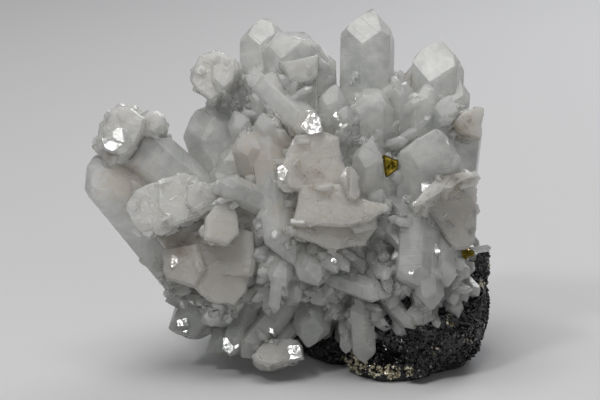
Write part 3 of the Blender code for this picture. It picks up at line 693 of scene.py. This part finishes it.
class Flat:
    """A flat face as a turn and a hull of points in its plane, X along its longest edge."""

    def __init__(self, face):
        longest = max(face.edges, key=lambda edge: edge.calc_length())
        along = (longest.verts[1].co - longest.verts[0].co).normalized()
        self.normal = face.normal.copy()
        self.middle = face.calc_center_median()
        self.turn = axes_to(self.normal, along)
        self.area = face.calc_area()
        back = self.turn.inverted()
        places = [back @ (vert.co - self.middle) for vert in face.verts]
        flat = [Vector((place.x, place.y)) for place in places]
        self.hull = [flat[index] for index in convex_hull_2d(flat)]
        self.low = [min(spot[k] for spot in self.hull) for k in range(2)]
        self.high = [max(spot[k] for spot in self.hull) for k in range(2)]

    def place(self, x, y, z):
        """A point of the face's own axes in the frame."""
        return self.middle + self.turn.to_3x3() @ Vector((x, y, z))

    def laid(self, shape):
        """Moves a shape from the face's own axes into the frame."""
        matrix = Matrix.Translation(self.middle) @ self.turn
        bmesh.ops.transform(shape, verts=shape.verts, matrix=matrix)

    def rim(self, rng):
        """A random point on the rim of the hull."""
        index = rng.randrange(len(self.hull))
        first = self.hull[index]
        second = self.hull[(index + 1) % len(self.hull)]
        return first + (second - first) * rng.random()

    def slab(self, inset, rise, sunk, slope):
        """A thin slab on the face, as wide as its hull drawn in by inset, in the face's own axes."""
        shape = bmesh.new()
        sizes = [high - low + 0.002 for low, high in zip(self.low, self.high)]
        centre = Vector([(low + high) / 2 for low, high in zip(self.low, self.high)] + [0.0])
        centre.z = (rise - sunk) / 2
        bmesh.ops.create_cube(
            shape, size=1.0,
            matrix=Matrix.Translation(centre) @ Matrix.Diagonal((*sizes, rise + sunk, 1.0)))
        middle = sum(self.hull, Vector((0.0, 0.0))) / len(self.hull)
        for first, second in zip(self.hull, self.hull[1:] + self.hull[:1]):
            if (second - first).length < 1e-5:
                continue
            out = outward(first, second, middle)
            rim = (first + second) / 2 - out * inset
            cut(shape, Vector((*rim, 0.0)), Vector((*out, slope)).normalized())
        return shape

    def step(self, span, inset, rise):
        """A growth layer: a slab of the face between two shares of its length."""
        shape = self.slab(inset, rise, LAYER_SUNK, LAYER_SLOPE)
        for share, way in zip(span, (-1.0, 1.0)):
            x = self.low[0] + (self.high[0] - self.low[0]) * share
            lean = Vector((way, 0.12 * way, LAYER_SLOPE)).normalized()
            cut(shape, Vector((x, 0.0, 0.0)), lean)
        self.laid(shape)
        return shape

    def ledges(self, rng, rise, sunk):
        """A cleavage layer that ends in a ragged line across the face, as strips side by side."""
        shapes = []
        # Cleavage runs along the face or at the angles of a calcite rhomb.
        turned = rng.choice((0.0, math.radians(76.0), math.radians(104.0)))
        back = rng.choice((0.0, math.pi))
        way = Vector((math.cos(turned + back), math.sin(turned + back)))
        side = Vector((-way.y, way.x))
        along = [spot.dot(way) for spot in self.hull]
        beside = [spot.dot(side) for spot in self.hull]
        edge = min(along) + (max(along) - min(along)) * rng.uniform(0.25, 0.85)
        start = min(beside)
        while start < max(beside):
            end = start + rng.uniform(0.0012, 0.0040)
            edge += rng.uniform(-0.0009, 0.0009)
            strip = self.slab(rng.uniform(-0.0001, 0.0003), rise, sunk, 0.0)
            cut(strip, Vector((*(way * edge), 0.0)),
                Vector((*(-way - side * rng.uniform(-0.3, 0.3)), 0.3)).normalized())
            cut(strip, Vector((*(side * start), 0.0)), Vector((*-side, 0.0)))
            cut(strip, Vector((*(side * end), 0.0)), Vector((*side, 0.0)))
            if closed(strip) and max(vert.co.z for vert in strip.verts) > 0.0:
                self.laid(strip)
                shapes.append(strip)
            else:
                strip.free()
            start = end - 0.0001
        return shapes


def closed(shape):
    """Whether a cut shape is still a closed body worth keeping."""
    return len(shape.faces) > 3 and all(len(edge.link_faces) == 2 for edge in shape.edges)


def keep_closed(shape, shapes):
    """Adds a shape to the others, or drops it if it is no longer closed."""
    if closed(shape):
        shapes.append(shape)
    else:
        shape.free()


def glint(skin, outline, rng):
    """A finely uneven face that mirrors the lamp: its outline is (across, up) in the front view."""
    middle = [sum(part) / len(outline) for part in zip(*outline)]
    place, _ = skin.struck(*middle)
    eye = eye_place()
    normal = ((eye - place).normalized() + (LAMP - place).normalized()).normalized()
    turn = axes_to(normal, Vector((1.0, 0.0, 0.0)))
    back = (Matrix.Translation(place) @ turn).inverted()
    flat = []
    for across, up in outline:
        ray = seen(across, up, 0.0) - eye
        flat.append(back @ (eye + ray * ((place - eye).dot(normal) / ray.dot(normal))))
    reach = max(spot.length for spot in flat) * 1.1
    count = max(2, math.ceil(2 * reach / GLINT_CELL))
    shape = bmesh.new()
    bmesh.ops.create_grid(shape, x_segments=count, y_segments=count, size=reach)
    for vert in shape.verts:
        vert.co.x += rng.uniform(-0.3, 0.3) * GLINT_CELL
        vert.co.y += rng.uniform(-0.3, 0.3) * GLINT_CELL
        vert.co.z += rng.gauss(0.0, GLINT_RELIEF)
    down = bmesh.ops.extrude_face_region(shape, geom=shape.faces[:])
    moved = [item for item in down["geom"] if isinstance(item, bmesh.types.BMVert)]
    for vert in moved:
        vert.co.z = -GLINT_SUNK
    bmesh.ops.recalc_face_normals(shape, faces=shape.faces)
    hull = [Vector((spot.x, spot.y)) for spot in flat]
    hull = [hull[index] for index in convex_hull_2d(hull)]
    centre = sum(hull, Vector((0.0, 0.0))) / len(hull)
    for first, second in zip(hull, hull[1:] + hull[:1]):
        out = outward(first, second, centre)
        cut(shape, Vector((*first, 0.0)), Vector((*out, 0.25)).normalized())
    bmesh.ops.triangulate(shape, faces=shape.faces)
    matrix = Matrix.Translation(place + normal * GLINT_PROUD) @ turn
    bmesh.ops.transform(shape, verts=shape.verts, matrix=matrix)
    return shape


# Quartz.

# Faces over this area, in square metres, have growth layers, which rise between these heights.
LAYER_AREA = 2.2e-5
LAYER_RISES = (0.00004, 0.00010)
# The layers on the faces near this place fold over themselves, so they are left out.
PLAIN_PLACE = Vector((0.0068, 0.0087, 0.0849))
PLAIN_REACH = 0.008
FILLER_COUNT = 420
SPRAY_COUNT = 680
# Below this height the small crystals are stouter, droop and stand on more open places too.
LOW_HALF = 0.048
# Faces that glint in the front view, each an outline of (across, up).
QUARTZ_GLINTS = [
    [(-0.9, 73.8), (1.2, 74.1), (5.1, 74.7), (7.8, 72.3), (8.4, 68.1), (4.5, 67.2), (2.7, 68.7),
     (0.6, 70.8)],
    [(11.7, 72.8), (12.6, 74.4), (13.8, 72.6), (13.2, 71.4)],
    [(13.5, 70.2), (15.6, 71.7), (16.2, 70.2), (14.4, 68.7)],
    [(37.8, 56.6), (39.9, 57.0), (43.5, 53.8), (42.0, 50.4), (38.4, 50.1)],
    [(41.1, 36.0), (43.0, 34.2), (44.0, 32.0), (42.6, 31.4), (41.4, 33.6)],
    [(34.5, 26.4), (36.0, 26.1), (35.7, 24.9), (34.6, 25.1)],
    [(6.9, 33.9), (9.3, 32.4), (9.0, 31.2), (7.2, 31.8)],
    [(10.8, 31.2), (13.2, 29.4), (12.6, 28.5), (10.8, 29.4)],
    [(-8.1, 9.9), (-5.7, 8.4), (-6.0, 7.2), (-8.4, 8.7)],
    [(-21.3, 6.3), (-16.5, 6.3), (-16.5, 3.6), (-19.2, 1.5), (-21.3, 3.0)],
    [(-35.4, 13.2), (-32.4, 13.2), (-31.8, 10.2), (-34.8, 9.6)],
    [(-34.2, 8.4), (-31.5, 9.6), (-32.1, 7.8)],
]


def sprays(skin, rng):
    """Small crystals in fans, mostly in the hollows and in the lower half."""
    shapes = []
    for place, normal, openness in skin.spots(rng, 6000):
        low = place.z < LOW_HALF
        if place.z < 0.007 or openness > (0.8 if low else 0.5):
            continue
        away = Vector((place.x, place.y, 0.0)).normalized() * 0.5
        droop = Vector((0.0, 0.0, rng.uniform(-0.7, 0.1) if low else rng.uniform(-0.1, 0.5)))
        axis = (normal + away + droop).normalized()
        if axis.dot(normal) < 0.3:
            continue
        for _ in range(rng.randrange(2, 6)):
            lean = Vector([rng.gauss(0, 0.28) for _ in range(3)])
            way = (axis + lean).normalized()
            shift = Vector([rng.gauss(0, 0.0011) for _ in range(3)])
            shift -= normal * shift.dot(normal)
            width = rng.uniform(0.0014, 0.0037) * (1.15 if low else 0.9)
            length = width * rng.uniform(1.1, 2.3)
            root = place + shift - normal * width * 0.8
            tip = root + way * length + normal * width * 0.5
            if tip.z < 0.004 or (tip - root).length < width * 0.8:
                continue
            shapes.append(prism(root, tip, width, rng))
        if len(shapes) >= SPRAY_COUNT:
            break
    return shapes


def fillers(skin, rng):
    """Stout crystals in the hollows between the large ones, nearly as high as these."""
    shapes = []
    step, most = 0.0012, 9
    for place, normal, openness in skin.spots(rng, 7000):
        if openness > 0.5 or place.z < 0.009:
            continue
        out = Vector((place.x, place.y, 0.0)).normalized()
        rise = 0.9 if place.z > 0.055 else -0.35
        axis = out + Vector([rng.gauss(0, 0.22) for _ in range(3)])
        axis = (axis + normal * 0.4 + Vector((0.0, 0.0, rise))).normalized()
        if axis.dot(normal) < 0.1:
            continue
        # It grows step by step until it stands in the open.
        count = 2
        while count < most and skin.openness(place + axis * step * count, axis, rng, 0.010) < 0.6:
            count += 1
        width = rng.uniform(0.0028, 0.0064)
        root = place - axis * 0.003
        tip = place + axis * step * count
        if tip.z < 0.006:
            continue
        shapes.append(prism(root, tip, width, rng))
        if len(shapes) >= FILLER_COUNT:
            break
    return shapes


def growth_layers(skin, rng):
    """Thin layers on the large faces, as a crystal's growth leaves them."""
    shapes = []
    for flat in skin.flats(LAYER_AREA):
        plain = (flat.middle - PLAIN_PLACE).length < PLAIN_REACH
        for _ in range(1 + int(flat.area > 3 * LAYER_AREA)):
            start = rng.uniform(-0.1, 0.6)
            span = (start, start + rng.uniform(0.25, 0.6))
            layer = flat.step(span, rng.uniform(0.0, 0.0003), rng.uniform(*LAYER_RISES))
            if plain:
                layer.free()
            else:
                keep_closed(layer, shapes)
    return shapes


def quartz_piece():
    rng = random.Random(21)
    base = frame["nodes"]["quartz_cluster"].data
    skin = Skin(base)
    shapes = growth_layers(skin, rng)
    shapes += [glint(skin, outline, rng) for outline in QUARTZ_GLINTS]
    shapes += fillers(skin, rng)
    shapes += sprays(skin, rng)
    mesh = united("quartz", base, shapes)
    faceted(mesh, rng)
    piece_of("quartz_crystals", mesh, quartz_material(), "quartz", "quartz_cluster")


# Calcite.

def leaf(place, turn, width, thick, rng):
    """A thin plate with an uneven rounded outline."""
    shape = bmesh.new()
    bmesh.ops.create_cone(
        shape, cap_ends=True, segments=9, radius1=width / 2, radius2=width / 2 * 0.93, depth=thick)
    stretch = rng.uniform(0.55, 0.95)
    matrix = Matrix.Translation(place) @ turn @ Matrix.Diagonal((1.0, stretch, 1.0, 1.0))
    for _ in range(3):
        angle = rng.uniform(0.0, math.tau)
        way = Vector((math.cos(angle), math.sin(angle), 0.0))
        cut(shape, way * width * rng.uniform(0.28, 0.44), way)
    bmesh.ops.transform(shape, verts=shape.verts, matrix=matrix)
    return shape


def covers(flats, rng, count, tilt, thicks):
    """Larger leaves over the faces and the rims, where one plate steps down to the next.

    Steeply tilted ones lie all over the face, and the others near its rim.
    """
    shapes = []
    total = sum(flat.area for flat in flats)
    for flat in flats:
        for _ in range(round(count * flat.area / total)):
            rim = flat.rim(rng)
            thick = rng.uniform(*thicks)
            width = rng.uniform(0.0040, 0.0095) * (1.0 - tilt)
            pull = 1.0 - width * rng.uniform(0.15, 0.4) / max(rim.length, 0.001)
            depth = rng.uniform(-0.0030, 0.0)
            if tilt > 0.3:
                pull *= math.sqrt(rng.uniform(0.05, 1.0))
                depth = rng.uniform(-0.0010, 0.0010)
            place = flat.place(rim.x * pull, rim.y * pull, depth - thick * 0.4)
            wobble = small_tilt(rng, tilt)
            wobble = wobble @ Matrix.Rotation(rng.uniform(0.0, math.tau), 4, "Z")
            keep_closed(leaf(place, flat.turn @ wobble, width, thick, rng), shapes)
    return shapes


def leaves(flats, rng, count, size):
    """Thin cleavage leaves that lie along the faces and hang a little over their rims."""
    shapes = []
    total = sum(flat.area for flat in flats)
    for flat in flats:
        along = Matrix.Rotation(rng.uniform(0.0, math.pi), 4, "Z")
        for _ in range(round(count * flat.area / total)):
            rim = flat.rim(rng)
            thick = rng.uniform(0.00014, 0.0005)
            pull = rng.uniform(0.80, 0.97)
            centre = flat.place(rim.x * pull, rim.y * pull, -rng.uniform(0.0002, 0.0045))
            sizes = (size * rng.uniform(0.4, 1.3), size * rng.uniform(0.3, 0.9), thick * 2)
            wobble = small_tilt(rng, 0.035)
            wobble = wobble @ Matrix.Rotation(rng.gauss(0, 0.06), 4, "Z")
            shapes.append(block(centre, sizes, flat.turn @ along @ wobble, 0.22))
    return shapes


# Each growth: whether it is pale or beige, how many leaves it has, and their size in metres.
GROWTHS = {
    "calcite_left_cap": ("pale", 80, 0.0034),
    "calcite_left_blades": ("pale", 150, 0.0044),
    "calcite_lower_left": ("beige", 120, 0.0052),
    "calcite_center": ("beige", 120, 0.0056),
    "calcite_right_ledge": ("beige", 70, 0.0040),
    "calcite_right_corner": ("beige", 24, 0.0030),
    "calcite_top_knob": ("pale", 70, 0.0032),
    "calcite_top_plate": ("pale", 20, 0.0030),
    "calcite_flake": ("pale", 24, 0.0034),
}
# Faces over these areas, in square metres, have leaves, and ledges.
LEAF_AREA = 4e-6
LEDGE_AREA = 1.2e-5
# Leaves that bridge a gap between two plates: across, up, width in metres.
BRIDGES = {"calcite_center": [(9.3, 52.3, 0.0075), (1.5, 40.5, 0.0060), (14.5, 43.5, 0.0065)]}
# Growths with tilted leaves all over: tilt, share of the leaves, and their thickness.
ROSETTES = {
    "calcite_left_cap": (0.42, 1.0, (0.0010, 0.0026)),
    "calcite_top_knob": (0.42, 1.0, (0.0010, 0.0024)),
    "calcite_left_blades": (0.16, 0.6, (0.0006, 0.0016)),
}
# The same for all other growths.
PLATES = (0.11, 0.8, (0.0005, 0.0014))
# Faces that glint, as for the quartz.
CALCITE_GLINTS = {
    "calcite_center": [
        [(-4.9, 57.3), (-3.4, 58.2), (-1.8, 56.4), (-3.2, 53.2), (-4.8, 54.2)],
        [(13.8, 54.6), (15.9, 57.6), (17.0, 54.4)],
    ],
    "calcite_left_cap": [
        [(-57.6, 66.0), (-54.6, 66.9), (-51.6, 64.2), (-54.0, 62.1), (-56.7, 63.3)],
    ],
    "calcite_lower_left": [
        [(-37.5, 32.4), (-35.7, 32.7), (-34.5, 28.5), (-36.6, 27.3)],
    ],
    "calcite_flake": [
        [(-5.4, 3.6), (1.8, 4.2), (2.4, 0.6), (-4.2, -1.2)],
    ],
}


def calcite_pieces():
    paints = {
        "pale": calcite_material(
            "pale_calcite", (0.83, 0.83, 0.81), (0.76, 0.755, 0.725), PALE_STAINED, PALE_SPECKLED),
        "beige": calcite_material(
            "beige_calcite", (0.77, 0.745, 0.70), (0.69, 0.66, 0.605), BEIGE_STAINED,
            BEIGE_SPECKLED),
    }
    for index, (name, (tone, count, size)) in enumerate(GROWTHS.items()):
        rng = random.Random(50 + index)
        base = frame["nodes"][name].data
        skin = Skin(base)
        flats = skin.flats(LEAF_AREA)
        tilt, share, thicks = ROSETTES.get(name, PLATES)
        shapes = leaves(flats, rng, count // 3, size)
        shapes += covers(flats, rng, round(count * share), tilt, thicks)
        for outline in CALCITE_GLINTS.get(name, []):
            shapes.append(glint(skin, outline, rng))
        for across, up, width in BRIDGES.get(name, []):
            place, normal = skin.struck(across, up)
            turn = axes_to(normal, Vector((1.0, 0.0, 0.0)))
            shapes.append(leaf(place - normal * 0.0003, turn, width, 0.0013, rng))
        for flat in skin.flats(LEDGE_AREA):
            for _ in range(1 + round(flat.area / (5 * LEDGE_AREA))):
                shapes += flat.ledges(rng, rng.uniform(0.00006, 0.00024), 0.0003)
        mesh = united(name, base, shapes)
        faceted(mesh, rng)
        piece = name.replace("calcite", "calcite_growth")
        piece_of(piece, mesh, paints[tone], tone + "_calcite", name)


# Black ore and what sparkles on it.

# Points tried for ore grains, and how many patches there are in which the grains lie alike.
ORE_POINTS = 8500
ORE_PATCHES = 60
# Where pale grains sit on the ore: across, up, radius in millimetres, how many.
DRUSE = [
    (17.4, 0.0, 3.0, 120), (19.6, -2.2, 2.6, 110), (24.6, -3.4, 2.0, 40), (29.6, -3.8, 2.2, 120),
    (34.6, -3.6, 1.4, 14), (57.4, 36.6, 1.2, 16), (56.0, 22.8, 1.1, 16), (58.6, 28.0, 1.1, 10),
    (36.0, 10.5, 1.2, 7), (47.0, 12.0, 1.8, 12), (42.0, 3.0, 1.5, 7), (52.0, 6.0, 1.6, 8),
]


def ore_pieces():
    rng = random.Random(7)
    base = frame["nodes"]["matrix"].data
    skin = Skin(base)
    # Grains stay off the underside and out of deep hollows.
    spots = [
        spot for spot in skin.spots(rng, ORE_POINTS) if spot[0].z > 0.0025 and spot[2] > 0.2]
    patches = [(rng.choice(spots)[0], random_turn(rng)) for _ in range(ORE_PATCHES)]
    shapes = []
    for place, normal, _ in spots:
        _, turn = min(patches, key=lambda patch: (patch[0] - place).length)
        size = rng.choice((0.0006, 0.0008, 0.0011, 0.0017))
        sizes = [size * rng.uniform(0.5, 1.3) for _ in range(3)]
        wobble = Matrix.Rotation(rng.gauss(0, 0.25), 4, rng.choice("XYZ"))
        shapes.append(block(place - normal * size * 0.28, sizes, turn @ wobble, 0.25))
    mesh = united("ore", base, shapes)
    faceted(mesh, rng)
    piece_of("black_ore", mesh, ore_material(), "black_ore", "matrix")
    druse_piece(skin, rng)


def druse_piece(skin, rng):
    """The pale grains on the ore, as one more piece."""
    druse = bmesh.new()
    for across, up, radius, count in DRUSE:
        for _ in range(count):
            angle = rng.uniform(0.0, math.tau)
            away = radius * math.sqrt(rng.random())
            place, normal = skin.struck(across + away * math.cos(angle), up + away * math.sin(angle))
            if place is None or place.z < 0.0012:
                continue
            size = rng.choice((0.0003, 0.0004, 0.0006, 0.0009))
            place = place + normal * rng.uniform(0.0, 0.0006)
            grain = block(place, [size * rng.uniform(0.6, 1.1) for _ in range(3)],
                          random_turn(rng), 0.0)
            if not boxed(grain):
                continue
            part = mesh_of("grain", grain)
            druse.from_mesh(part)
            bpy.data.meshes.remove(part)
    mesh = mesh_of("pale_druse", druse)
    faceted(mesh, rng)
    piece_of("pale_druse", mesh, druse_material(), "chalcopyrite")


def brassy_pieces():
    paint = brassy_material()
    for index, name in enumerate(("chalcopyrite_crystal", "chalcopyrite_grain")):
        rng = random.Random(90 + index)
        base = frame["nodes"][name].data
        skin = Skin(base)
        shapes = []
        for place, normal, _ in skin.spots(rng, 26):
            size = rng.uniform(0.0005, 0.0011)
            shapes.append(block(place - normal * size * 0.35, [size] * 3, random_turn(rng), 0.1))
        mesh = united(name, base, shapes)
        faceted(mesh, rng)
        piece_of(name.replace("chalcopyrite", "brassy"), mesh, paint, "chalcopyrite", name)


add_camera()
add_stage()
quartz_piece()
calcite_pieces()
ore_pieces()
brassy_pieces()

bpy.context.scene.view_settings.view_transform = "Standard"
